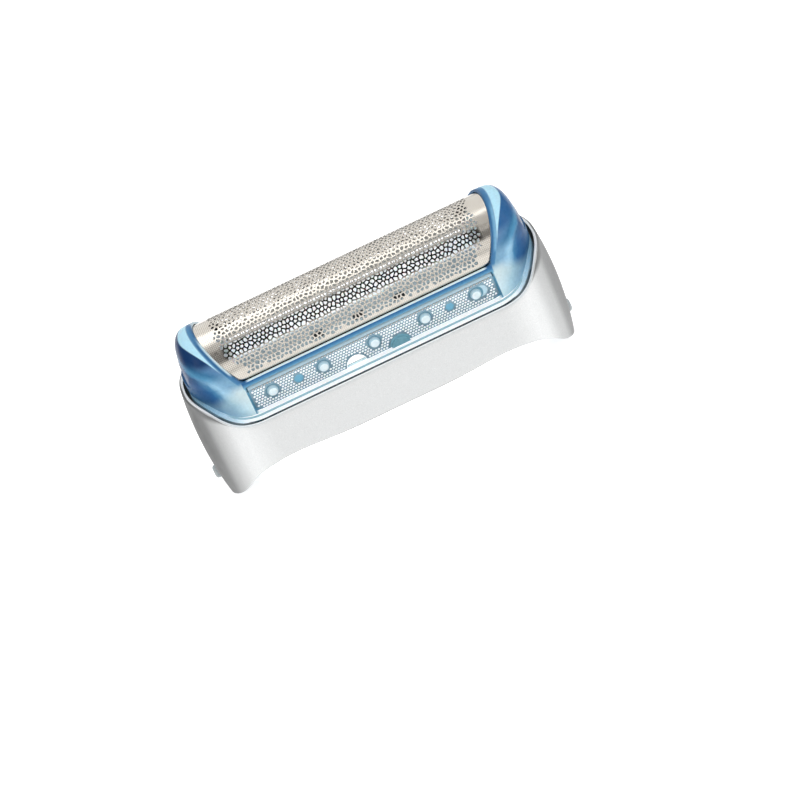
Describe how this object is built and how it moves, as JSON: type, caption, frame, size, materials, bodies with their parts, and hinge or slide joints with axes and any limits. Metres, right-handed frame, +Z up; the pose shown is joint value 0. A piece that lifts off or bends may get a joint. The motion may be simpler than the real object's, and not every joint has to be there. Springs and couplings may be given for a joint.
{
  "type": "shaver foil head",
  "caption": "Electric shaver foil head: silver frame with end legs, translucent blue foil carrier snapped inside, and an arched perforated metal shaving foil.",
  "frame": {"origin": "middle of the plane that the two end legs of the outer frame stand on", "axes": "+X along the length of the head, -Y out of the front long side, +Z up through the crown of the foil"},
  "size_m": [0.0588, 0.0218, 0.0265],
  "materials": {
    "silver_paint": "pale silver metallic paint on plastic, satin",
    "blue_plastic": "translucent blue moulded plastic, glossy",
    "foil_metal": "thin bright nickel sheet, perforated"
  },
  "bodies": {
    "root": {"outer_frame": "silver_paint", "foil_carrier": "blue_plastic", "shaving_foil": "foil_metal"}
  },
  "joints": []
}
